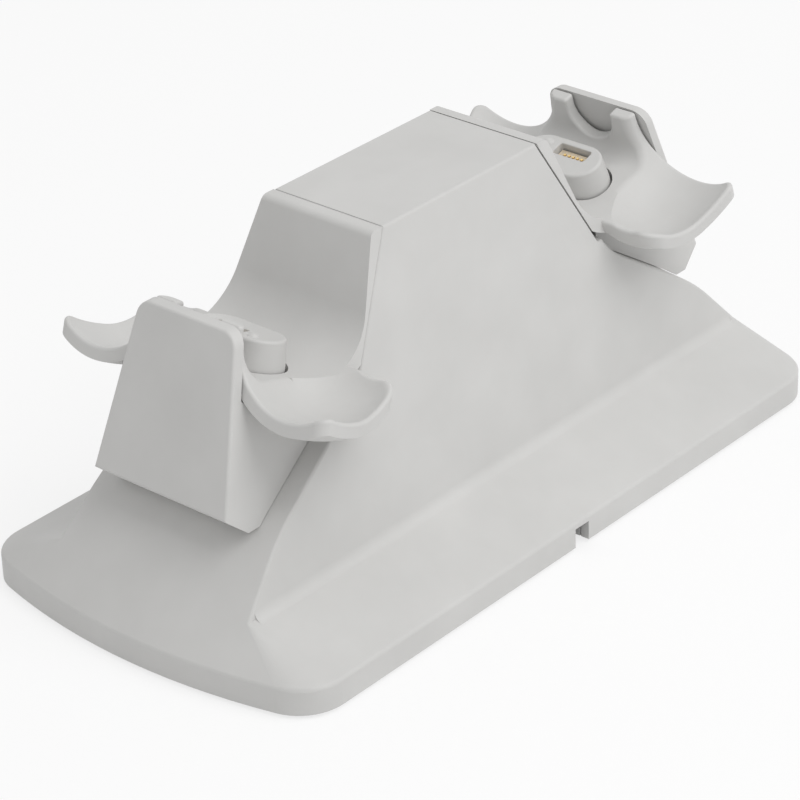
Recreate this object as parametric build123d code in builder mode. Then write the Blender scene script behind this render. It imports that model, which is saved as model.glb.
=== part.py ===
from build123d import *
import math
import os

# Twin charging dock for two game pads. X runs along the base, Y across it, Z up from the table.
# All sizes in millimetres and degrees. The dock is alike under a half turn about Z.

# Base: a low plate with bowed short ends, standing on rubber feet
base_length = 219.6
base_width = 110.0
end_bow = 8.55
base_corner = 13.0
rim_height = 7.0
rim_round = 1.2
flange_rise = 9.45
foot_stand = 1.0
wall = 2.5

# Tower: drafted side panels that run down into the flanges
tower_height = 90.8
tower_top_width = 35.4
side_draft = 10.9
foot_blend = 3.8
foot_blend_length = 191.0
panel_edge_round = 0.8

# End ramps: two slopes with soft changes between them
knee_reach = 86.5
knee_drop = 58.0
knee_blend = 60.0
upper_slope = 33.0
shoulder_blend = 28.0
shoulder_drop = 32.5
neck_offset = 3.8

# Seams where the cradles close the tower's ends
seam_reach = 29.5
seam_lean = 28.7
seam_gap = 0.2

# Cradle frame: a tray tilted towards the tower, seen from the middle of its post
tray_reach = 64.0
tray_drop = 26.9
tray_tilt = 17.5

# Cradle: trough between the tower wall and the horns, and two round scoops that make the wings
cradle_wall = 3.6
trough_back = 18.3
trough_back_lean = 3.9
trough_back_blend = 16.5
trough_front = 13.8
trough_front_blend = 5.0
scoop_radius = 18.9
scoop_spread = 31.0
scoop_axis_height = 12.8
scoop_low_point = 3.0
scoop_front_bend = 57.0
ridge_round = 3.0
wing_inboard = 14.2
wing_root = 39.3
wing_reach = 44.0
wing_root_round = 5.5
wing_tip_round = 3.0
neck_half_width = 20.5
neck_depth = 5.0
horn_height = 13.2
horn_notch_radius = 7.2
horn_notch_axis = 10.5
rim_edge_round = 0.8
strip_round = 2.0
saddle_headroom = 48.0

# End covers: hollow pedestals between the ramps and the trays
cover_wall = 3.0
cover_gap = 0.4
cover_top_drop = 9.0
cover_top_round = 4.5
cover_width = 44.0
cover_draft = 8.5
cover_edge_round = 0.8
cover_lip_level = 51.3
cover_lip_depth = 6.4
cover_lip_rise = 5.6
cover_inner_reach = 52.0
fit_gap = 0.25

# Charging posts
post_length = 24.6
post_width = 12.8
post_height = 7.6
post_draft = 6.0
post_round = 0.8
post_hole_gap = 0.7
post_flange = 2.4
post_flange_inboard = 8.5
post_flange_outboard = 12.6
post_flange_width = 31.0
recess_length = 10.4
recess_width = 4.2
recess_corner = 0.8
recess_edge_round = 0.3
recess_out = 2.2
recess_side = -2.4
dome_radius = 2.0
dome_height = 0.8
dome_out = 3.3
dome_side = 6.4

# Contacts: an insulator in the post's slot with spring contacts that reach the board below
block_length = 9.6
block_width = 3.2
block_sink = 2.0
block_notch = 0.9
pin_count = 5
pin_pitch = 1.4
pin_diameter = 0.7
pin_proud = 0.3
pin_gap = 0.1
board_thickness = 1.6
post_screw_out = 10.2
post_screw_spread = 9.0
post_screw_length = 7.0

# Bottom cover, feet and screws
plate_thickness = 3.0
plate_gap = 0.3
foot_diameter = 14.0
foot_recess = 1.0
foot_gap = 0.2
foot_round = 0.5
foot_reach = 86.0
foot_spread = 34.0
end_screw_reach = 92.0
end_screw_spread = 18.0
side_screw_reach = 30.0
side_screw_spread = 42.0
screw_diameter = 2.6
screw_gap = 0.1
screw_head_diameter = 4.6
screw_head_height = 1.4
screw_head_gap = 0.2
screw_length = 8.0
drive_size = 2.6
drive_width = 0.7
drive_depth = 0.8
boss_diameter = 7.0
boss_gap = 0.2

# Screws that come up through the ramps into the cradles and the end covers
long_screw_length = 13.0
cradle_screw_in = 12.0
cradle_screw_spread = 12.0
cradle_screw_seat = 15.0
cradle_boss = 6.0
cover_screw_out = 5.0
cover_screw_spread = 12.0
cover_screw_seat = 36.5
cover_boss = 6.0
cover_boss_top = 17.0
cover_rib = 1.6
cover_rib_height = 6.0

# Supply: notch in the near rim, channel, plug bay and socket
notch_width = 5.4
notch_height = 5.4
bay_width = 15.0
bay_near = 37.0
bay_far = 14.0
bay_height = 8.0
bay_wall = 1.6
socket_width = 9.0
socket_height = 3.2
socket_length = 7.4
socket_overhang = 3.2
socket_wall = 0.4
socket_tongue = 0.8
socket_gap = 0.2

# Main board on posts of the bottom cover, with its parts
main_board_length = 62.0
main_board_near = -12.0
main_board_far = 22.0
main_board_lift = 3.4
main_screw_reach = 27.0
main_screw_near = -8.0
main_screw_far = 18.0
main_screw_length = 5.0
board_post = 6.0
coil_size = 8.0
coil_height = 4.0
coil_place = (8.0, 12.0)
can_diameter = 6.3
can_height = 7.0
can_place = (-10.0, 13.0)
chip_length = 7.0
chip_width = 5.0
chip_height = 1.2
chip_place = (-1.0, 1.0)
lead_socket_length = 8.0
lead_socket_width = 5.0
lead_socket_height = 4.0
lead_socket_reach = 22.0

# Inner leads from the main board up to the contact boards
lead_diameter = 3.0
lead_bend = 6.0
lead_out = -2.0
lead_drop = 35.0
lead_hole = 5.0
lead_hole_depth = 34.0
lead_end_gap = 0.1

# Levels and shapes that follow from the sizes above
half_length = base_length / 2
half_width = base_width / 2
rim_top = foot_stand + rim_height
flange_top = rim_top + flange_rise
knee_height = tower_height - knee_drop
shoulder_height = tower_height - shoulder_drop
tray_height = tower_height - tray_drop
cover_top = tower_height - cover_top_drop
cover_lip_height = tower_height - cover_lip_level
bow_radius = (half_width**2 + end_bow**2) / (2 * end_bow)
bow_axis = half_length - bow_radius
draft_run = math.tan(math.radians(side_draft))
ramp_run = (half_length - knee_reach) / (knee_height - rim_top)
ramp_angle = math.degrees(math.atan(1 / ramp_run))
seam_run = math.tan(math.radians(seam_lean))
tilt_cos = math.cos(math.radians(tray_tilt))
tilt_sin = math.sin(math.radians(tray_tilt))
cradle_frame = Plane(
    origin=(tray_reach, 0, tray_height),
    x_dir=(tilt_cos, 0, tilt_sin),
    z_dir=(-tilt_sin, 0, tilt_cos),
)
front_face = trough_front + cradle_wall
cover_front = front_face + cover_gap
post_taper = post_height * math.tan(math.radians(post_draft))
flange_seat = -cradle_wall - seam_gap
post_underside = flange_seat - post_flange
contact_underside = post_underside - board_thickness
plate_top = foot_stand + plate_thickness
screw_seat = foot_stand + screw_head_gap + screw_head_height
board_low = plate_top + main_board_lift
board_top = board_low + board_thickness
both_sides = (-1, 1)
both_ends = (0, 180)
touch = 0.01


def end_reach(height, inset):
    """How far the lower ramp reaches at a height, on the middle line."""
    skin = inset / math.sin(math.radians(ramp_angle))
    return knee_reach + (knee_height - height) * ramp_run - skin


def side_reach(height, inset):
    """How far a side panel stands from the middle at a height."""
    skin = inset / math.cos(math.radians(side_draft))
    return tower_top_width / 2 + (tower_height - height) * draft_run - skin


def rim_outline(height, inset):
    """Outline of the base at a height, inset from its rim: bowed ends and round corners."""
    reach = half_length - inset
    side = half_width - inset
    end = reach - end_bow
    with BuildSketch(Plane.XY.offset(height)) as outline:
        with BuildLine():
            ThreePointArc((end, -side), (reach, 0), (end, side))
            Line((end, side), (-end, side))
            ThreePointArc((-end, side), (-reach, 0), (-end, -side))
            Line((-end, -side), (end, -side))
        make_face()
        fillet(outline.vertices(), base_corner - inset)
    return outline.sketch


def tower_section(inset):
    """Cross section of the tower: a drafted trapezium that stands on the base."""
    top = tower_height - inset
    low = flange_top - inset
    with BuildSketch(Plane.YZ) as section:
        with BuildLine():
            Polyline(
                (0, top),
                (side_reach(top, inset), top),
                (side_reach(low, inset), low),
                (0, low),
                close=True,
            )
        make_face()
        mirror(about=Plane.YZ)
    return section.sketch


def ramp_section(inset):
    """Lengthwise section out to one end ramp, from the axis of the end's bow."""
    low = flange_top - inset
    slope = math.tan(math.radians(upper_slope))
    foot = (end_reach(low, inset), low)
    knee = (end_reach(knee_height, inset), knee_height)
    rise = seam_run * (tower_height - knee_height)
    climb = (knee_reach - seam_reach - rise - neck_offset) / (1 - slope * seam_run)
    neck = (knee[0] - climb, knee_height + climb * slope)
    top = (neck[0] - (tower_height - neck[1]) * seam_run, tower_height)
    with BuildSketch(Plane.XZ) as section:
        with BuildLine():
            FilletPolyline(foot, knee, neck, top, radius=[knee_blend, shoulder_blend])
            Polyline(top, (bow_axis, tower_height), (bow_axis, low), foot)
        make_face()
    return section.sketch


def end_form(inset):
    """Round of the ramp about the axis of the end's bow."""
    with BuildPart() as form:
        revolve(ramp_section(inset), axis=Axis((bow_axis, 0, 0), (0, 0, 1)))
    return form.part


def foot_strip():
    """Concave blend between one side panel and its flange."""
    corner = Vector(side_reach(flange_top, 0), flange_top)
    slope = math.degrees(math.atan(flange_rise / (half_width - corner.X)))
    reach = foot_blend * math.tan(math.radians(90 - side_draft - slope) / 2)
    down = Vector(0, -1).rotate(Axis.Z, side_draft)
    start = corner - down * reach
    stop = corner + Vector(1, 0).rotate(Axis.Z, -slope) * reach
    with BuildSketch(Plane.YZ) as section:
        with BuildLine():
            TangentArc(start, stop, tangent=down)
            Polyline(stop, (stop.X, rim_top), (start.X - wall, rim_top), (start.X - wall, start.Y), start)
        make_face()
    with BuildPart() as strip:
        extrude(section.sketch, amount=foot_blend_length / 2, both=True)
    return strip.part


def seam_section(inset):
    """Lengthwise section between the two seams, as wide as the base below the shoulders."""
    low = shoulder_height - inset
    top = seam_reach - inset / math.cos(math.radians(seam_lean))
    with BuildSketch(Plane.XZ) as section:
        with BuildLine():
            Polyline(
                (0, tower_height),
                (top, tower_height),
                (top + (tower_height - low) * seam_run, low),
                (half_length, low),
                (half_length, flange_top - inset),
                (0, flange_top - inset),
                close=True,
            )
        make_face()
        mirror(about=Plane.YZ)
    return section.sketch


def housing_form(inset):
    """The housing's outer form, or the same form inset for its cavity or grown for a clearance."""
    low = foot_stand - inset
    with BuildPart() as tower:
        extrude(tower_section(inset), amount=half_length, both=True)
        for turn in both_ends:
            add(end_form(inset), rotation=(0, 0, turn), mode=Mode.INTERSECT)
        extrude(seam_section(inset), amount=half_width, both=True, mode=Mode.INTERSECT)
        panels = tower.faces().sort_by(Axis.Y)
        foot_level = flange_top - inset
        panel_edges = (panels[0].edges() + panels[-1].edges()).filter_by(
            lambda edge: edge.center().Z > foot_level + touch
        )
        fillet(panel_edges, panel_edge_round)
        foot_face = tower.faces().sort_by(Axis.Z)[0]
    with BuildPart() as form:
        extrude(rim_outline(low, inset), amount=rim_top - inset - low)
        loft([rim_outline(rim_top - inset, inset).face(), foot_face], ruled=True)
        add(tower.part)
    return form.part


def saddle_form(grow):
    """Space over the cradle's surface in the cradle's frame, grown outwards by an amount."""
    lean = math.radians(trough_back_lean)
    back = trough_back + grow / math.cos(lean)
    front = trough_front + grow
    high = (-back - saddle_headroom * math.tan(lean), saddle_headroom)
    low = (-back + grow * math.tan(lean), -grow)
    bowl = scoop_radius + grow
    bend = scoop_front_bend + grow
    mouth_radius = bowl - bend + math.sqrt(bend**2 - (cover_front - scoop_low_point) ** 2)
    scoop_back = (scoop_low_point - bowl, scoop_axis_height)
    scoop_bottom = (scoop_low_point, scoop_axis_height - bowl)
    scoop_mouth = (cover_front, scoop_axis_height - mouth_radius)
    with BuildPart() as form:
        with BuildSketch(Plane.XZ):
            with BuildLine():
                blends = [trough_back_blend + grow, trough_front_blend + grow]
                FilletPolyline(high, low, (front, -grow), (front, saddle_headroom), radius=blends)
                Line((front, saddle_headroom), high)
            make_face()
        extrude(amount=wing_reach + grow, both=True)
        for side in (-scoop_spread, scoop_spread):
            with BuildSketch(Plane.XZ.offset(-side)):
                with BuildLine():
                    RadiusArc(scoop_back, scoop_bottom, -bowl)
                    RadiusArc(scoop_bottom, scoop_mouth, -bend)
                    Polyline(scoop_mouth, (cover_front, scoop_axis_height), scoop_back)
                make_face()
            revolve(axis=Axis((0, side, scoop_axis_height), (1, 0, 0)))
            with Locations((trough_front, side, scoop_axis_height)):
                Box(
                    2 * (cover_front - trough_front),
                    2 * mouth_radius,
                    saddle_headroom - scoop_axis_height,
                    align=(Align.CENTER, Align.CENTER, Align.MIN),
                )
    return form.part


def seated(form):
    """A form made in the cradle's frame, moved to its seat on the right of the tower."""
    return cradle_frame.location * form


def peg(out, side, low, high, diameter):
    """A round peg square to the tray, seated on the right."""
    with BuildPart() as form:
        with Locations((out, side, low)):
            Cylinder(diameter / 2, high - low, align=(Align.CENTER, Align.CENTER, Align.MIN))
    return seated(form.part)


def screw_form(length):
    """A cross drive screw with its head below the origin and its shank up along Z."""
    with BuildPart() as form:
        Cylinder(screw_head_diameter / 2, screw_head_height, align=(Align.CENTER, Align.CENTER, Align.MAX))
        Cylinder(screw_diameter / 2, length, align=(Align.CENTER, Align.CENTER, Align.MIN))
        with Locations((0, 0, -screw_head_height)):
            Box(drive_size, drive_width, 2 * drive_depth, mode=Mode.SUBTRACT)
            Box(drive_width, drive_size, 2 * drive_depth, mode=Mode.SUBTRACT)
    return form.part


def cover_section(inset):
    """Cross section of the end cover: drafted flanks and rounded top corners."""
    run = math.tan(math.radians(cover_draft))
    top_half = cover_width / 2 - (cover_top - cover_lip_height) * run - inset
    low_half = cover_width / 2 + (cover_lip_height - rim_top) * run - inset
    with BuildSketch(Plane.YZ) as section:
        with BuildLine():
            FilletPolyline(
                (low_half, rim_top),
                (top_half, cover_top),
                (-top_half, cover_top),
                (-low_half, rim_top),
                radius=cover_top_round,
            )
            Line((-low_half, rim_top), (low_half, rim_top))
        make_face()
    return section.sketch


def cover_side(inset):
    """Lengthwise section of the end cover: leaning outer face and a lip that slants back to the ramp."""
    face = cover_front + cover_wall - inset
    low = cover_lip_height + inset

    def on_face(height):
        up = (height - tray_height - face * tilt_sin) / tilt_cos
        return (tray_reach + face * tilt_cos - up * tilt_sin, height)

    lip = on_face(low)
    with BuildSketch(Plane.XZ) as section:
        with BuildLine():
            Polyline(
                on_face(cover_top),
                lip,
                (lip[0] - cover_lip_depth, low - cover_lip_rise),
                (cover_inner_reach, low - cover_lip_rise),
                (cover_inner_reach, cover_top),
                close=True,
            )
        make_face()
    return section.sketch


def obround(height, grow):
    """Outline of the post at a height, grown outwards by an amount."""
    with BuildSketch(Plane.XY.offset(height)) as outline:
        SlotOverall(post_length + 2 * grow, post_width + 2 * grow, rotation=90)
    return outline.sketch


def finish(form, name):
    """Name a piece and write it."""
    form.label = name
    export_step(form, f"parts/{name}.step")


os.makedirs("parts", exist_ok=True)
housing_clear = housing_form(-fit_gap)
end_screws = [(x * end_screw_reach, y * end_screw_spread) for x in both_sides for y in both_sides]
side_screws = [(x * side_screw_reach, y * side_screw_spread) for x in both_sides for y in both_sides]
base_screw_places = end_screws + side_screws
foot_places = [(x * foot_reach, y * foot_spread) for x in both_sides for y in both_sides]
board_screw_sides = (main_screw_near, main_screw_far)
board_screw_places = [(x * main_screw_reach, y) for x in both_sides for y in board_screw_sides]
ramp_screws = [
    (out, side * spread, -seat)
    for side in both_sides
    for out, spread, seat in (
        (-cradle_screw_in, cradle_screw_spread, cradle_screw_seat),
        (cover_screw_out, cover_screw_spread, cover_screw_seat),
    )
]

# Outside of the housing: base, tower and the concave blends at the foot of its side panels
with BuildPart() as housing_outside:
    add(housing_form(0))
    for turn in both_ends:
        add(foot_strip(), rotation=(0, 0, turn))
    rim_line = housing_outside.edges().filter_by_position(Axis.Z, rim_top - touch, rim_top + touch)
    fillet(rim_line, rim_round)

# Bosses inside the housing: uprights for the bottom cover's screws, seats for the screws in the ramps
with BuildPart() as housing_bosses:
    with Locations(*[(x, y, plate_top + boss_gap) for x, y in base_screw_places]):
        Cylinder(boss_diameter / 2, tower_height, align=(Align.CENTER, Align.CENTER, Align.MIN))
    for turn in both_ends:
        for out, side, seat in ramp_screws:
            add(peg(out, side, seat, 0, boss_diameter), rotation=(0, 0, turn))
    add(housing_outside.part, mode=Mode.INTERSECT)

# Main housing: one hollow moulding of base rim, flanges, tower and end ramps
with BuildPart() as main_housing:
    add(housing_outside.part)
    add(housing_form(wall), mode=Mode.SUBTRACT)
    add(housing_bosses.part)
    with Locations(*[(x, y, plate_top) for x, y in base_screw_places]):
        Cylinder(
            screw_diameter / 2 + screw_gap,
            screw_length - plate_top + screw_seat + screw_gap,
            align=(Align.CENTER, Align.CENTER, Align.MIN),
            mode=Mode.SUBTRACT,
        )
    for turn in both_ends:
        add(peg(lead_out, 0, -lead_hole_depth, 0, lead_hole), rotation=(0, 0, turn), mode=Mode.SUBTRACT)
        for out, side, seat in ramp_screws:
            hole = peg(out, side, seat, 0, screw_diameter + 2 * screw_gap)
            add(hole, rotation=(0, 0, turn), mode=Mode.SUBTRACT)
    with Locations((0, -half_width, foot_stand)):
        Box(notch_width, 4 * wall, 2 * notch_height, mode=Mode.SUBTRACT)
finish(main_housing.part, "main_housing")

# Wings: the skin under the saddle, cut to the plan of the tray and its two wings
tray_space = saddle_form(0)
with BuildPart() as wings:
    with BuildSketch(Plane.XY.offset(-scoop_radius)):
        with BuildLine():
            FilletPolyline(
                (front_face, 0),
                (front_face, wing_reach),
                (-wing_inboard, wing_root),
                (-wing_inboard, neck_half_width),
                radius=[wing_tip_round, wing_root_round],
            )
            Polyline(
                (-wing_inboard, neck_half_width),
                (-wing_inboard - neck_depth, neck_half_width),
                (-wing_inboard - neck_depth, 0),
                (front_face, 0),
            )
        make_face()
        mirror(about=Plane.XZ)
    extrude(amount=scoop_radius + horn_height)
    add(saddle_form(cradle_wall), mode=Mode.INTERSECT)
    add(tray_space, mode=Mode.SUBTRACT)
    ridges = wings.edges().filter_by_position(Axis.Z, -touch, touch)
    fillet(ridges.filter_by(GeomType.LINE, reverse=True), ridge_round)
    with BuildSketch(Plane.YZ.offset(trough_front - trough_front_blend)):
        with Locations((0, horn_notch_axis)):
            Circle(horn_notch_radius)
            Rectangle(2 * horn_notch_radius, horn_height, align=(Align.CENTER, Align.MIN))
    extrude(amount=cover_front - trough_front + trough_front_blend, mode=Mode.SUBTRACT)
    notch_edges = wings.edges(Select.LAST).filter_by(Axis.X, reverse=True)
    horn_edges = wings.edges().filter_by_position(Axis.Z, horn_height - touch, horn_height + touch)
    horn_edges = horn_edges.filter_by(lambda edge: (edge @ 0.5).X > 0)
    walls = wings.faces().filter_by(
        lambda face: abs(face.normal_at().Z) < touch and tray_space.distance_to(face.center()) > touch
    )
    rim_edges = walls.edges().filter_by(lambda edge: tray_space.distance_to(edge @ 0.5) < touch)
    fillet(set(notch_edges + horn_edges + rim_edges), rim_edge_round)

# Cradle: tray, wings and horns in one moulding with the shoulder that closes the tower's end
seam_top = seam_reach + seam_gap / math.cos(math.radians(seam_lean))
seam_low = seam_top + (tower_height - shoulder_height) * seam_run
with BuildPart() as cradle:
    extrude(tower_section(0), amount=half_length, both=True)
    add(seated(saddle_form(cradle_wall)), mode=Mode.INTERSECT)
    with BuildSketch(Plane.XZ):
        with BuildLine():
            Polyline(
                (seam_top, tower_height),
                (tray_reach, tower_height),
                (tray_reach, shoulder_height),
                (seam_low, shoulder_height),
                close=True,
            )
        make_face()
    extrude(amount=half_width, both=True, mode=Mode.INTERSECT)
    for side in both_sides:
        add(peg(-cradle_screw_in, side * cradle_screw_spread, -cradle_screw_seat, 0, cradle_boss))
    add(seated(tray_space), mode=Mode.SUBTRACT)
    add(seated(wings.part))
    add(housing_clear, mode=Mode.SUBTRACT)
    with BuildSketch(Plane.XZ):
        with BuildLine():
            Polyline(
                (0, tower_height),
                (seam_top, tower_height),
                (seam_low, shoulder_height),
                (0, shoulder_height),
                close=True,
            )
        make_face()
    extrude(amount=half_width, both=True, mode=Mode.SUBTRACT)

# Openings of the cradle: the hole for the post and the screw holes from below
with BuildPart() as cradle_openings:
    extrude(obround(-2 * cradle_wall, post_taper + post_hole_gap), amount=4 * cradle_wall)
    with Locations(*[(post_screw_out, y * post_screw_spread, contact_underside) for y in both_sides]):
        Cylinder(
            screw_diameter / 2 + screw_gap,
            post_screw_length + screw_gap,
            align=(Align.CENTER, Align.CENTER, Align.MIN),
        )
    with Locations(*[(-cradle_screw_in, y * cradle_screw_spread, -cradle_screw_seat) for y in both_sides]):
        Cylinder(
            screw_diameter / 2 + screw_gap,
            long_screw_length + screw_gap,
            align=(Align.CENTER, Align.CENTER, Align.MIN),
        )
with BuildPart() as cradle_moulding:
    add(cradle.part)
    add(seated(cradle_openings.part), mode=Mode.SUBTRACT)
    ledge = cradle_moulding.edges().filter_by(Axis.Y).group_by(Axis.Z)[-1].sort_by(Axis.X)[-1]
    fillet(ledge, strip_round)

# End cover: hollow pedestal between the ramp and the tray, with two screw bosses ribbed to its face
with BuildPart() as cover_hollow:
    extrude(cover_section(cover_wall), amount=half_length)
    extrude(cover_side(cover_wall), amount=half_width, both=True, mode=Mode.INTERSECT)
with BuildPart() as cover_bosses:
    for side in both_sides:
        with Locations((cover_screw_out, side * cover_screw_spread, -cover_boss_top)):
            Cylinder(cover_boss / 2, cover_screw_seat, align=(Align.CENTER, Align.CENTER, Align.MAX))
            Box(
                cover_front - cover_screw_out + cover_wall / 2,
                cover_rib,
                cover_rib_height,
                align=(Align.MIN, Align.CENTER, Align.MAX),
            )
with BuildPart() as end_cover:
    extrude(cover_section(0), amount=half_length)
    extrude(cover_side(0), amount=half_width, both=True, mode=Mode.INTERSECT)
    outer_face = end_cover.faces().sort_by(Axis((0, 0, 0), cradle_frame.x_dir))[-1]
    fillet(outer_face.edges(), cover_edge_round)
    add(cover_hollow.part, mode=Mode.SUBTRACT)
    add(seated(saddle_form(cradle_wall + cover_gap)), mode=Mode.SUBTRACT)
    add(seated(cover_bosses.part))
    add(housing_clear, mode=Mode.SUBTRACT)
    for side in both_sides:
        hole_top = long_screw_length - cover_screw_seat + screw_gap
        hole = peg(
            cover_screw_out,
            side * cover_screw_spread,
            -cover_screw_seat,
            hole_top,
            screw_diameter + 2 * screw_gap,
        )
        add(hole, mode=Mode.SUBTRACT)

# Charging post: a drafted obround on a flange, with a slot for the contacts and a small dome
with BuildPart() as post:
    loft([obround(0, post_taper), obround(post_height, 0)], ruled=True)
    fillet(post.faces().sort_by(Axis.Z)[-1].edges(), post_round)
    extrude(obround(flange_seat, post_taper), amount=-flange_seat)
    with Locations((-post_flange_inboard, 0, flange_seat)):
        Box(
            post_flange_inboard + post_flange_outboard,
            post_flange_width,
            post_flange,
            align=(Align.MIN, Align.CENTER, Align.MAX),
        )
    with Locations((dome_out, dome_side, post_height + dome_height - dome_radius)):
        Sphere(dome_radius)
    with BuildSketch(Plane.XY.offset(post_underside)):
        with Locations((recess_out, recess_side)):
            RectangleRounded(recess_width, recess_length, recess_corner)
    extrude(amount=2 * post_height - post_underside, mode=Mode.SUBTRACT)
    slot_edges = post.edges(Select.LAST)
    slot_mouth = slot_edges.filter_by_position(Axis.Z, post_height - touch, post_height + touch)
    fillet(slot_mouth, recess_edge_round)
    with Locations(*[(post_screw_out, y * post_screw_spread, post_underside) for y in both_sides]):
        Cylinder(screw_diameter / 2 + screw_gap, 2 * post_flange + screw_gap, mode=Mode.SUBTRACT)

# Contact block: insulator with two notched corners, standing in the post's slot on the board
block_top = post_height - block_sink
first_pin = recess_side - (pin_count - 1) / 2 * pin_pitch
pin_places = [(recess_out, first_pin + i * pin_pitch, post_underside) for i in range(pin_count)]
block_back = recess_out - block_width / 2
block_corners = [(block_back, recess_side + y * block_length / 2, 0) for y in both_sides]
with BuildPart() as contact_block:
    with Locations((recess_out, recess_side, post_underside)):
        Box(
            block_width,
            block_length,
            block_top - post_underside,
            align=(Align.CENTER, Align.CENTER, Align.MIN),
        )
    with Locations(*block_corners):
        Box(2 * block_notch, 2 * block_notch, 4 * post_height, mode=Mode.SUBTRACT)
    with Locations(*pin_places):
        Cylinder(pin_diameter / 2 + pin_gap, 4 * post_height, mode=Mode.SUBTRACT)

# Contact pins: plated spring contacts that stand a little proud of the block
with BuildPart() as contact_pins:
    with Locations(*pin_places):
        Cylinder(
            pin_diameter / 2,
            block_top + pin_proud - post_underside,
            align=(Align.CENTER, Align.CENTER, Align.MIN),
        )

# Contact board: small circuit board screwed up against the post's flange
with BuildPart() as contact_board:
    with Locations((-post_flange_inboard, 0, post_underside)):
        Box(
            post_flange_inboard + post_flange_outboard,
            post_flange_width,
            board_thickness,
            align=(Align.MIN, Align.CENTER, Align.MAX),
        )
    with Locations(*[(post_screw_out, y * post_screw_spread, post_underside) for y in both_sides]):
        Cylinder(screw_diameter / 2 + screw_gap, 4 * board_thickness, mode=Mode.SUBTRACT)

# Screws of the post, of the cradle and of the end cover
with BuildPart() as post_screws:
    with Locations(*[(post_screw_out, y * post_screw_spread, contact_underside) for y in both_sides]):
        add(screw_form(post_screw_length))
with BuildPart() as cradle_screws:
    with Locations(*[(-cradle_screw_in, y * cradle_screw_spread, -cradle_screw_seat) for y in both_sides]):
        add(screw_form(long_screw_length))
with BuildPart() as cover_screws:
    with Locations(*[(cover_screw_out, y * cover_screw_spread, -cover_screw_seat) for y in both_sides]):
        add(screw_form(long_screw_length))

# Lead: sheathed wires from a socket on the main board up through the ramp to the contact board
lead_start = cradle_frame.from_local_coords((lead_out, 0, contact_underside - lead_end_gap))
lead_turn = cradle_frame.from_local_coords((lead_out, 0, contact_underside - lead_drop))
lead_low = board_top + lead_socket_height + lead_end_gap
with BuildPart() as lead:
    with BuildLine(Plane.XZ) as lead_path:
        FilletPolyline(
            (lead_start.X, lead_start.Z),
            (lead_turn.X, lead_turn.Z),
            (lead_socket_reach, lead_turn.Z),
            (lead_socket_reach, lead_low),
            radius=lead_bend,
        )
    with BuildSketch(Plane(origin=lead_path.line @ 0, z_dir=lead_path.line % 0)):
        Circle(lead_diameter / 2)
    sweep()

# The pieces of one end, and the same pieces turned half way round for the other
end_pieces = {
    "cradle": cradle_moulding.part,
    "end_cover": end_cover.part,
    "post": seated(post.part),
    "contact_block": seated(contact_block.part),
    "contact_pins": seated(contact_pins.part),
    "contact_board": seated(contact_board.part),
    "post_screws": seated(post_screws.part),
    "cradle_screws": seated(cradle_screws.part),
    "cover_screws": seated(cover_screws.part),
    "lead": lead.part,
}
for end_name, turn in (("right", 0), ("left", 180)):
    for piece_name, piece in end_pieces.items():
        with BuildPart() as placed:
            add(piece, rotation=(0, 0, turn))
        finish(placed.part, f"{piece_name}_{end_name}")

# Bottom cover: plate inside the rim with foot pockets, a plug bay and posts for the main board
with BuildPart() as bottom_cover:
    extrude(rim_outline(foot_stand, wall + plate_gap), amount=plate_thickness)
    with Locations((0, -(bay_near + bay_far) / 2, foot_stand)):
        Box(
            bay_width + 2 * bay_wall,
            bay_near - bay_far + 2 * bay_wall,
            bay_height + bay_wall,
            align=(Align.CENTER, Align.CENTER, Align.MIN),
        )
        Box(bay_width, bay_near - bay_far, 2 * bay_height, mode=Mode.SUBTRACT)
    with Locations((0, -bay_near, foot_stand)):
        Box(
            notch_width,
            base_width,
            2 * notch_height,
            align=(Align.CENTER, Align.MAX, Align.CENTER),
            mode=Mode.SUBTRACT,
        )
    with Locations((0, -bay_far, board_low - socket_height / 2)):
        Box(
            socket_width + 2 * socket_gap,
            4 * bay_wall,
            socket_height + 2 * socket_gap,
            mode=Mode.SUBTRACT,
        )
    with Locations(*[(x, y, foot_stand) for x, y in board_screw_places]):
        Cylinder(board_post / 2, board_low - foot_stand, align=(Align.CENTER, Align.CENTER, Align.MIN))
    with Locations(*[(x, y, board_top - main_screw_length - screw_gap) for x, y in board_screw_places]):
        Cylinder(
            screw_diameter / 2 + screw_gap,
            main_screw_length,
            align=(Align.CENTER, Align.CENTER, Align.MIN),
            mode=Mode.SUBTRACT,
        )
    with Locations(*[(x, y, foot_stand) for x, y in foot_places]):
        Cylinder(foot_diameter / 2 + foot_gap, 2 * foot_recess, mode=Mode.SUBTRACT)
    with Locations(*[(x, y, foot_stand) for x, y in base_screw_places]):
        Cylinder(screw_diameter / 2 + screw_gap, 4 * plate_thickness, mode=Mode.SUBTRACT)
        Cylinder(
            screw_head_diameter / 2 + screw_head_gap,
            2 * (screw_seat - foot_stand),
            mode=Mode.SUBTRACT,
        )
finish(bottom_cover.part, "bottom_cover")

# Rubber feet in the pockets of the bottom cover
for number, (x, y) in enumerate(foot_places, 1):
    with BuildPart() as foot:
        with Locations((x, y, 0)):
            Cylinder(
                foot_diameter / 2,
                foot_stand + foot_recess,
                align=(Align.CENTER, Align.CENTER, Align.MIN),
            )
        fillet(foot.faces().sort_by(Axis.Z)[0].edges(), foot_round)
    finish(foot.part, f"foot_{number}")

# Screws of the bottom cover and of the main board
with BuildPart() as base_screws:
    with Locations(*[(x, y, screw_seat) for x, y in base_screw_places]):
        add(screw_form(screw_length))
finish(base_screws.part, "base_screws")
with BuildPart() as board_screws:
    with Locations(*[Location((x, y, board_top), (180, 0, 0)) for x, y in board_screw_places]):
        add(screw_form(main_screw_length))
finish(board_screws.part, "board_screws")

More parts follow.
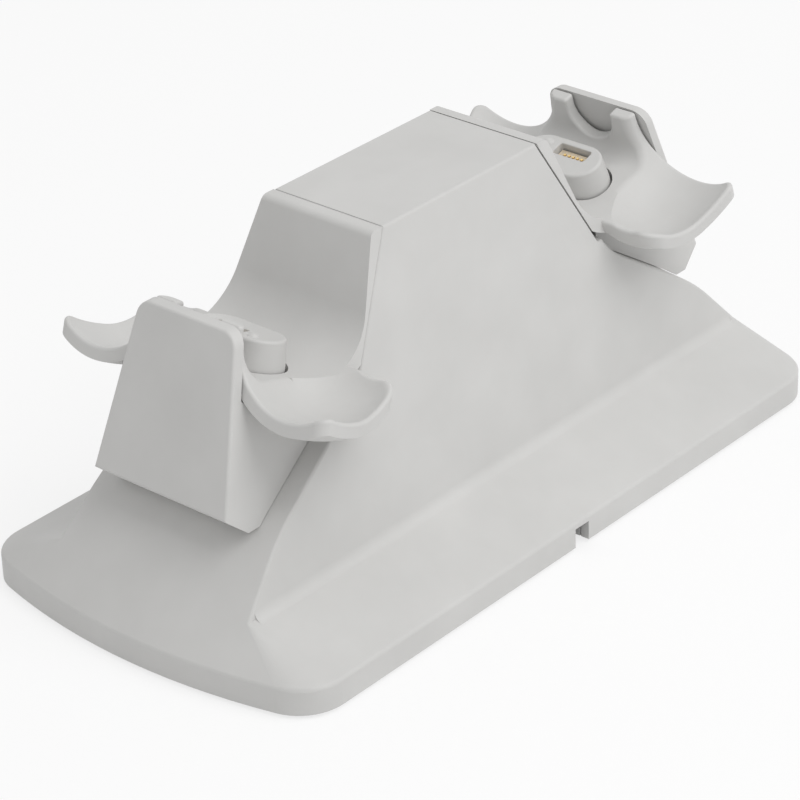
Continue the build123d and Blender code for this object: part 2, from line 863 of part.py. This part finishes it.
# Main board on its four posts
with BuildPart() as main_board:
    with Locations((0, main_board_near, board_low)):
        Box(
            main_board_length,
            main_board_far - main_board_near,
            board_thickness,
            align=(Align.CENTER, Align.MIN, Align.MIN),
        )
    with Locations(*[(x, y, board_low) for x, y in board_screw_places]):
        Cylinder(screw_diameter / 2 + screw_gap, 4 * board_thickness, mode=Mode.SUBTRACT)
finish(main_board.part, "main_board")

# Charge parts on the board: a coil, a can capacitor, a chip and the two sockets of the leads
with BuildPart() as charge_parts:
    with Locations((*coil_place, board_top)):
        Box(coil_size, coil_size, coil_height, align=(Align.CENTER, Align.CENTER, Align.MIN))
    with Locations((*can_place, board_top)):
        Cylinder(can_diameter / 2, can_height, align=(Align.CENTER, Align.CENTER, Align.MIN))
    with Locations((*chip_place, board_top)):
        Box(chip_length, chip_width, chip_height, align=(Align.CENTER, Align.CENTER, Align.MIN))
    with Locations(*[(x * lead_socket_reach, 0, board_top) for x in both_sides]):
        Box(
            lead_socket_length,
            lead_socket_width,
            lead_socket_height,
            align=(Align.CENTER, Align.CENTER, Align.MIN),
        )
finish(charge_parts.part, "charge_parts")

# Inlet socket: a small metal shell with a tongue, hung under the board's near edge
socket_mouth = main_board_near - socket_overhang
with BuildPart() as inlet_socket:
    with BuildSketch(Plane.XZ.offset(-socket_mouth)):
        with Locations((0, board_low - socket_height / 2)):
            SlotOverall(socket_width, socket_height)
    extrude(amount=-socket_length)
    with BuildSketch(Plane.XZ.offset(-socket_mouth)):
        with Locations((0, board_low - socket_height / 2)):
            SlotOverall(socket_width - 2 * socket_wall, socket_height - 2 * socket_wall)
            Rectangle(
                socket_width - 2 * socket_height,
                socket_tongue,
                mode=Mode.SUBTRACT,
            )
    extrude(amount=-socket_length + 2 * socket_wall, mode=Mode.SUBTRACT)
finish(inlet_socket.part, "inlet_socket")
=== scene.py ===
import math

import bpy
from mathutils import Matrix, Vector

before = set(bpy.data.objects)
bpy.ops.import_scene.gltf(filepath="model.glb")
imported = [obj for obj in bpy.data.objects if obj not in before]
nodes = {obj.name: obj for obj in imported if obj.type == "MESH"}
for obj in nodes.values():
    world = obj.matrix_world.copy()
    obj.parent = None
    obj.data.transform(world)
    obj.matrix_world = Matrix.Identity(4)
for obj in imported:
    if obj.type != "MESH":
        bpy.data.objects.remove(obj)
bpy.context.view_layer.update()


# Main housing: base, tower and end ramps, moulded in one piece from pale warm grey ABS.
# The mould is spark eroded, so the skin is matt with a grain of about a quarter of a millimetre.
def fresh_material(name):
    """A node material that holds only its shader and its output."""
    material = bpy.data.materials.new(name)
    material.use_nodes = True
    tree = material.node_tree
    shader = tree.nodes["Principled BSDF"]
    return material, tree, shader


noise_low = 0.3
noise_high = 0.7


def noise(tree, size, detail, stretch=(1.0, 1.0, 1.0)):
    """Noise whose features measure about the given size, in the object's own space."""
    place = tree.nodes.new("ShaderNodeTexCoord")
    scale = tree.nodes.new("ShaderNodeMapping")
    texture = tree.nodes.new("ShaderNodeTexNoise")
    scale.inputs["Scale"].default_value = [1.0 / (size * part) for part in stretch]
    texture.inputs["Scale"].default_value = 1.0
    texture.inputs["Detail"].default_value = detail
    tree.links.new(place.outputs["Object"], scale.inputs["Vector"])
    tree.links.new(scale.outputs["Vector"], texture.inputs["Vector"])
    return texture.outputs["Fac"]


def spread(tree, factor, low, high, socket):
    """Send a factor, spread over a range, to a socket of the shader."""
    ranger = tree.nodes.new("ShaderNodeMapRange")
    ranger.inputs["From Min"].default_value = noise_low
    ranger.inputs["From Max"].default_value = noise_high
    ranger.inputs["To Min"].default_value = low
    ranger.inputs["To Max"].default_value = high
    tree.links.new(factor, ranger.inputs["Value"])
    tree.links.new(ranger.outputs["Result"], socket)


def tint(tree, factor, dark, light, socket):
    """Send a colour between two tints, chosen by a factor, to a socket of the shader."""
    ramp = tree.nodes.new("ShaderNodeValToRGB")
    ramp.color_ramp.elements[0].position = noise_low
    ramp.color_ramp.elements[1].position = noise_high
    ramp.color_ramp.elements[0].color = (*dark, 1.0)
    ramp.color_ramp.elements[1].color = (*light, 1.0)
    tree.links.new(factor, ramp.inputs["Fac"])
    tree.links.new(ramp.outputs["Color"], socket)


def raise_grain(tree, shader, factor, depth, strength):
    """Raise a fine relief on the surface."""
    bump = tree.nodes.new("ShaderNodeBump")
    bump.inputs["Distance"].default_value = depth
    bump.inputs["Strength"].default_value = strength
    tree.links.new(factor, bump.inputs["Height"])
    tree.links.new(bump.outputs["Normal"], shader.inputs["Normal"])


drift_size = 0.02
grain_depth = 0.00002
grain_strength = 0.35
matt_play = 0.06
plastic_gloss = 0.4


def moulded_plastic(name, dark, light, roughness, grain_size):
    """Matt moulded plastic with a spark eroded grain and a faint drift of tone."""
    material, tree, shader = fresh_material(name)
    fine = noise(tree, grain_size, 2.0)
    tint(tree, noise(tree, drift_size, 3.0), dark, light, shader.inputs["Base Color"])
    spread(tree, fine, roughness - matt_play, roughness + matt_play, shader.inputs["Roughness"])
    raise_grain(tree, shader, fine, grain_depth, grain_strength)
    shader.inputs["Specular IOR Level"].default_value = plastic_gloss
    return material


def dress(material, *names):
    """Give pieces of the frame a finish."""
    for name in names:
        nodes[name].data.materials.clear()
        nodes[name].data.materials.append(material)


shell_dark = (0.590, 0.586, 0.574)
shell_light = (0.625, 0.621, 0.609)
shell_roughness = 0.5
shell_grain = 0.00025
shell_plastic = moulded_plastic(
    "shell_plastic", shell_dark, shell_light, shell_roughness, shell_grain
)
dress(shell_plastic, "main_housing")

# Cradles: tray, wings and horns of each end in one moulding of the same plastic as the housing.
# Two screws from inside the tower hold each of them.
ends = ("right", "left")
dress(shell_plastic, *[f"cradle_{end}" for end in ends])

# End covers: hollow pedestals of the same plastic under the trays.
# Their bosses take screws through the ramps.
dress(shell_plastic, *[f"end_cover_{end}" for end in ends])

# Charging posts: drafted stubs of the same plastic that come up through the trays.
# A flange below each tray carries two screws.
dress(shell_plastic, *[f"post_{end}" for end in ends])

# Contact blocks: insulators of natural nylon, cream coloured, pushed into the posts' slots.
# The moulding keeps the fine ribs of its cutter along its top.
nylon_dark = (0.640, 0.540, 0.400)
nylon_light = (0.740, 0.640, 0.490)
rib_pitch = 0.0005
rib_depth = 0.00005
rib_strength = 0.5
cloud_size = 0.0008
polish_size = 0.0003
wave_length_at_scale_one = math.pi / 10
nylon, nylon_tree, nylon_shader = fresh_material("natural_nylon")
rib_place = nylon_tree.nodes.new("ShaderNodeTexCoord")
ribs = nylon_tree.nodes.new("ShaderNodeTexWave")
ribs.bands_direction = "Y"
ribs.inputs["Scale"].default_value = wave_length_at_scale_one / rib_pitch
nylon_tree.links.new(rib_place.outputs["Object"], ribs.inputs["Vector"])
clouds = noise(nylon_tree, cloud_size, 3.0)
tint(nylon_tree, clouds, nylon_dark, nylon_light, nylon_shader.inputs["Base Color"])
polish = noise(nylon_tree, polish_size, 2.0)
spread(nylon_tree, polish, 0.38, 0.5, nylon_shader.inputs["Roughness"])
raise_grain(nylon_tree, nylon_shader, ribs.outputs["Fac"], rib_depth, rib_strength)
dress(nylon, *[f"contact_block_{end}" for end in ends])


# Contact pins: turned brass spring contacts with a thin gold plating.
# They are soldered to the contact boards and stand a little proud of the blocks.
mark_size = 0.0004
mark_depth = 0.00001
mark_strength = 0.3
sheen_play = 0.08


def bare_metal(name, dark, light, roughness, brush):
    """Metal with fine marks drawn out along one direction."""
    material, tree, shader = fresh_material(name)
    marks = noise(tree, mark_size, 3.0, brush)
    tint(tree, marks, dark, light, shader.inputs["Base Color"])
    spread(tree, marks, roughness - sheen_play, roughness + sheen_play, shader.inputs["Roughness"])
    raise_grain(tree, shader, marks, mark_depth, mark_strength)
    shader.inputs["Metallic"].default_value = 1.0
    return material


turned = (1.0, 1.0, 0.2)
gold_dark = (0.80, 0.56, 0.22)
gold_light = (0.95, 0.72, 0.34)
gold_plate = bare_metal("gold_plate", gold_dark, gold_light, 0.28, turned)
dress(gold_plate, *[f"contact_pins_{end}" for end in ends])

# Contact boards: small green glass epoxy boards under the posts' flanges.
# The weave of the glass cloth shows faintly through the lacquer.
weave_size = 0.0006
weave_depth = 0.00001
weave_strength = 0.2
lacquer_size = 0.002
board_dark = (0.012, 0.085, 0.035)
board_light = (0.020, 0.130, 0.055)
laminate, laminate_tree, laminate_shader = fresh_material("board_laminate")
weave_place = laminate_tree.nodes.new("ShaderNodeTexCoord")
weave = laminate_tree.nodes.new("ShaderNodeTexChecker")
weave.inputs["Scale"].default_value = 1.0 / weave_size
weave.inputs["Color1"].default_value = (*board_dark, 1.0)
weave.inputs["Color2"].default_value = (*board_light, 1.0)
laminate_tree.links.new(weave_place.outputs["Object"], weave.inputs["Vector"])
laminate_tree.links.new(weave.outputs["Color"], laminate_shader.inputs["Base Color"])
lacquer = noise(laminate_tree, lacquer_size, 2.0)
spread(laminate_tree, lacquer, 0.25, 0.4, laminate_shader.inputs["Roughness"])
raise_grain(laminate_tree, laminate_shader, weave.outputs["Fac"], weave_depth, weave_strength)
dress(laminate, *[f"contact_board_{end}" for end in ends])

# Leads: round two core cables in black soft PVC from the main board up to the contact boards.
# Their sheaths are extruded, with a fine even grain and a dull sheen.
sheath_dark = (0.012, 0.012, 0.013)
sheath_light = (0.022, 0.022, 0.023)
sheath_grain = 0.0004
sheath = moulded_plastic("lead_sheath", sheath_dark, sheath_light, 0.55, sheath_grain)
dress(sheath, *[f"lead_{end}" for end in ends])

# Main board: a green glass epoxy board screwed to posts of the bottom cover.
# It carries a coil, a capacitor, a charging chip and the sockets of the leads.
resin_dark = (0.018, 0.018, 0.020)
resin_light = (0.035, 0.035, 0.037)
resin_grain = 0.0003
parts_resin = moulded_plastic("parts_resin", resin_dark, resin_light, 0.45, resin_grain)
dress(laminate, "main_board")
dress(parts_resin, "charge_parts")

# Inlet socket: a folded shell of tinned steel at the end of the plug bay, soldered to the board.
# Its sheet keeps faint marks from the rolling.
rolled = (4.0, 0.5, 4.0)
tin_dark = (0.52, 0.52, 0.52)
tin_light = (0.66, 0.66, 0.65)
tinned_steel = bare_metal("tinned_steel", tin_dark, tin_light, 0.32, rolled)
dress(tinned_steel, "inlet_socket")

# Bottom cover: a flat plate of the housing's plastic that closes the base from below.
# It has the plug bay and the cable channel moulded in.
dress(shell_plastic, "bottom_cover")

# Screws: pan head thread forming screws in zinc plated steel.
# They hold the bottom cover, the boards, the cradles, the end covers and the posts.
zinc_dark = (0.50, 0.51, 0.53)
zinc_light = (0.66, 0.67, 0.69)
zinc_plate = bare_metal("zinc_plate", zinc_dark, zinc_light, 0.36, turned)
screw_groups = ("post_screws", "cradle_screws", "cover_screws")
dress(zinc_plate, "base_screws", "board_screws")
dress(zinc_plate, *[f"{group}_{end}" for group in screw_groups for end in ends])

# Feet: four round pads of dark rubber, punched from sheet.
# They are stuck in shallow seats of the bottom cover and stand a little proud of it.
rubber_dark = (0.030, 0.030, 0.030)
rubber_light = (0.050, 0.050, 0.050)
rubber_grain = 0.0005
rubber = moulded_plastic("foot_rubber", rubber_dark, rubber_light, 0.8, rubber_grain)
dress(rubber, *[f"foot_{number}" for number in range(1, 5)])


# Studio: a pale floor, an even room and one large soft lamp, high up and a little in front.
# The room and the floor's far part show as plain white.
def seen_directly(tree):
    """One for rays from the camera, from a reflection or through glass, and nought for light."""
    rays = tree.nodes.new("ShaderNodeLightPath")
    reflected = tree.nodes.new("ShaderNodeMath")
    total = tree.nodes.new("ShaderNodeMath")
    reflected.operation = "MAXIMUM"
    total.operation = "MAXIMUM"
    tree.links.new(rays.outputs["Is Glossy Ray"], reflected.inputs[0])
    tree.links.new(rays.outputs["Is Transmission Ray"], reflected.inputs[1])
    tree.links.new(rays.outputs["Is Camera Ray"], total.inputs[0])
    tree.links.new(reflected.outputs["Value"], total.inputs[1])
    return total.outputs["Value"]


room_strength = 0.56
white_strength = 1.0
world = bpy.data.worlds.new("studio")
bpy.context.scene.world = world
world.use_nodes = True
sky = world.node_tree
room = sky.nodes["Background"]
white = sky.nodes.new("ShaderNodeBackground")
mix = sky.nodes.new("ShaderNodeMixShader")
room.inputs["Color"].default_value = (1.0, 1.0, 1.0, 1.0)
room.inputs["Strength"].default_value = room_strength
white.inputs["Color"].default_value = (1.0, 1.0, 1.0, 1.0)
white.inputs["Strength"].default_value = white_strength
sky.links.new(seen_directly(sky), mix.inputs["Fac"])
sky.links.new(room.outputs["Background"], mix.inputs[1])
sky.links.new(white.outputs["Background"], mix.inputs[2])
sky.links.new(mix.outputs["Shader"], sky.nodes["World Output"].inputs["Surface"])

floor_half = 6.0
floor_dark = (0.93, 0.93, 0.93)
floor_light = (0.95, 0.95, 0.95)
floor_whiteness = 0.75
floor_patch = 0.5
floor_roughness = 0.9
floor_mesh = bpy.data.meshes.new("floor")
floor_sides = ((-1, -1), (1, -1), (1, 1), (-1, 1))
floor_corners = [(x * floor_half, y * floor_half, 0.0) for x, y in floor_sides]
floor_mesh.from_pydata(floor_corners, [], [(0, 1, 2, 3)])
floor = bpy.data.objects.new("floor", floor_mesh)
bpy.context.scene.collection.objects.link(floor)
floor_paint, floor_tree, floor_shader = fresh_material("floor_paint")
patches = noise(floor_tree, floor_patch, 2.0)
tint(floor_tree, patches, floor_dark, floor_light, floor_shader.inputs["Base Color"])
floor_shader.inputs["Roughness"].default_value = floor_roughness
floor_glow = floor_tree.nodes.new("ShaderNodeEmission")
floor_share = floor_tree.nodes.new("ShaderNodeMath")
floor_mix = floor_tree.nodes.new("ShaderNodeMixShader")
floor_share.operation = "MULTIPLY"
floor_share.inputs[1].default_value = floor_whiteness
floor_tree.links.new(seen_directly(floor_tree), floor_share.inputs[0])
floor_tree.links.new(floor_share.outputs["Value"], floor_mix.inputs["Fac"])
floor_tree.links.new(floor_shader.outputs["BSDF"], floor_mix.inputs[1])
floor_tree.links.new(floor_glow.outputs["Emission"], floor_mix.inputs[2])
floor_surface = floor_tree.nodes["Material Output"].inputs["Surface"]
floor_tree.links.new(floor_mix.outputs["Shader"], floor_surface)
floor_mesh.materials.append(floor_paint)


def soft_lamp(name, place, aim, width, height, watts):
    """A large rectangular lamp at a place, turned to a point."""
    lamp = bpy.data.lights.new(name, "AREA")
    lamp.shape = "RECTANGLE"
    lamp.size = width
    lamp.size_y = height
    lamp.energy = watts
    holder = bpy.data.objects.new(name, lamp)
    holder.location = place
    holder.rotation_euler = (Vector(aim) - Vector(place)).to_track_quat("-Z", "Y").to_euler()
    bpy.context.scene.collection.objects.link(holder)


middle = (0.0, 0.0, 0.045)
lamp_place = (0.15, -0.80, 1.30)
lamp_side = 1.2
lamp_watts = 12.0
soft_lamp("high_lamp", lamp_place, middle, lamp_side, lamp_side, lamp_watts)

# Camera: a long lens, turned and raised to the angle from which the dock is seen.
# It stands nearly 0.9 m away, so the dock's long edges stay almost parallel.
azimuth = math.radians(-48.479)
elevation = math.radians(28.883)
roll = math.radians(-1.984)
camera_place = Vector((-0.56728, -0.49734, 0.44035))
focal_length = 149.445
sensor_width = 36.0
back = Vector(
    (
        math.sin(azimuth) * math.cos(elevation),
        -math.cos(azimuth) * math.cos(elevation),
        math.sin(elevation),
    )
)
level = Vector((0, 0, 1)).cross(back).normalized()
upright = back.cross(level)
right = math.cos(roll) * level + math.sin(roll) * upright
up = math.cos(roll) * upright - math.sin(roll) * level
lens = bpy.data.cameras.new("camera")
lens.sensor_width = sensor_width
lens.lens = focal_length
camera = bpy.data.objects.new("camera", lens)
turn = Matrix((right, up, back)).transposed()
camera.matrix_world = Matrix.Translation(camera_place) @ turn.to_4x4()
bpy.context.scene.collection.objects.link(camera)
bpy.context.scene.camera = camera
bpy.context.scene.view_settings.view_transform = "Standard"
